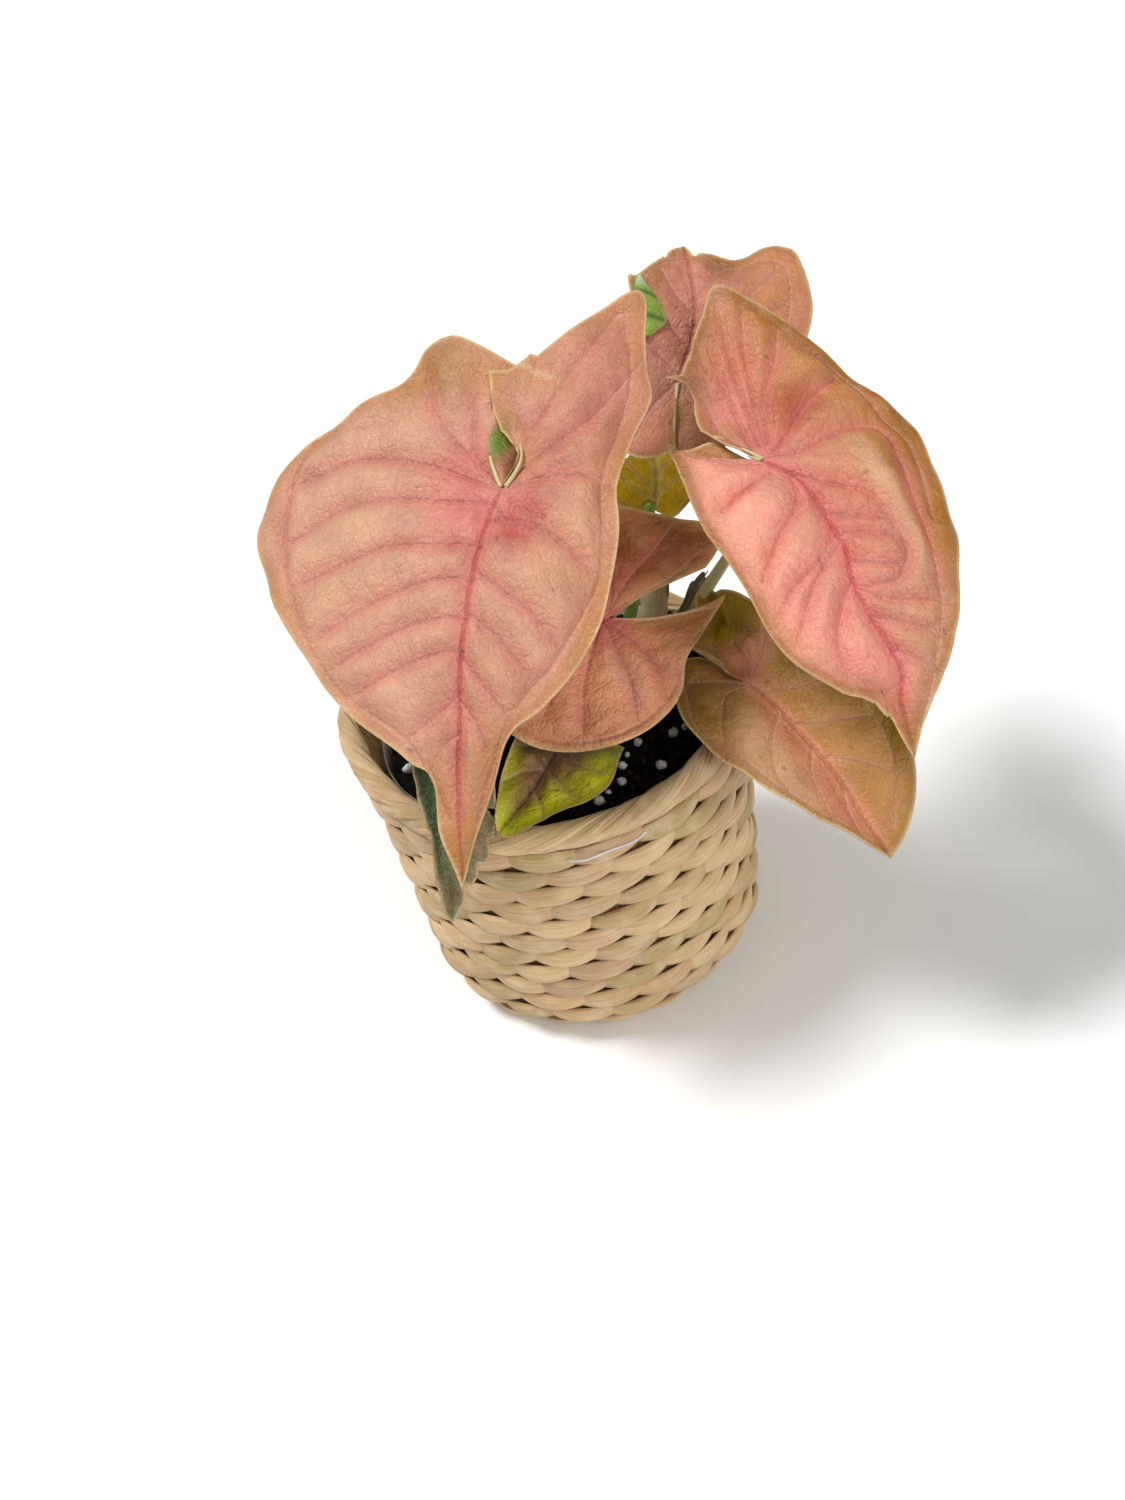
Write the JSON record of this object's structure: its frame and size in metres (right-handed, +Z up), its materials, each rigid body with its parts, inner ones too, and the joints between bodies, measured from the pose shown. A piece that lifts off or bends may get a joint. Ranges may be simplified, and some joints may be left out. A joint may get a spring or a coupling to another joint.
{
  "type": "arrowhead plant in a basket",
  "caption": "Pink-leaved arrowhead plant with broad arrow-shaped leaves on slim stalks, growing in potting mix in a small lined seagrass basket.",
  "frame": {"origin": "middle of the basket's base, on the surface it stands on", "axes": "+Z up; -Y is the front that the leaves face; +X to the right seen from the front"},
  "size_m": [0.1589, 0.1421, 0.1695],
  "materials": {
    "straw": "dry twisted seagrass strands, matt, pale straw with brown gaps",
    "liner_film": "thin clear film, glossy",
    "potting_mix": "moist black mix with white perlite grains",
    "pink_leaf": "satin salmon-pink blade with a deeper pink midrib and a tan margin",
    "tan_leaf": "satin tan and olive blade with a pink midrib",
    "green_leaf": "satin yellow-green blade",
    "stalk": "smooth fleshy green to pinkish stalk, satin",
    "dry_sheath": "dry papery sheath, matt"
  },
  "bodies": {
    "root": {"basket_wall": "straw", "basket_rim": "straw", "liner": "liner_film", "soil": "potting_mix", "leaf_front_left_blade": "pink_leaf", "leaf_front_left_petiole": "stalk", "leaf_front_right_blade": "pink_leaf", "leaf_front_right_petiole": "stalk", "leaf_back_blade": "pink_leaf", "leaf_back_petiole": "stalk", "leaf_middle_blade": "tan_leaf", "leaf_middle_petiole": "stalk", "leaf_low_right_blade": "tan_leaf", "leaf_low_right_petiole": "stalk", "leaf_rim_blade": "green_leaf", "leaf_rim_petiole": "stalk", "leaf_hanging_blade": "green_leaf", "leaf_hanging_petiole": "stalk", "leaf_turned_blade": "green_leaf", "leaf_turned_petiole": "stalk", "sheath_dry": "dry_sheath", "sheath_pale": "dry_sheath"}
  },
  "joints": []
}
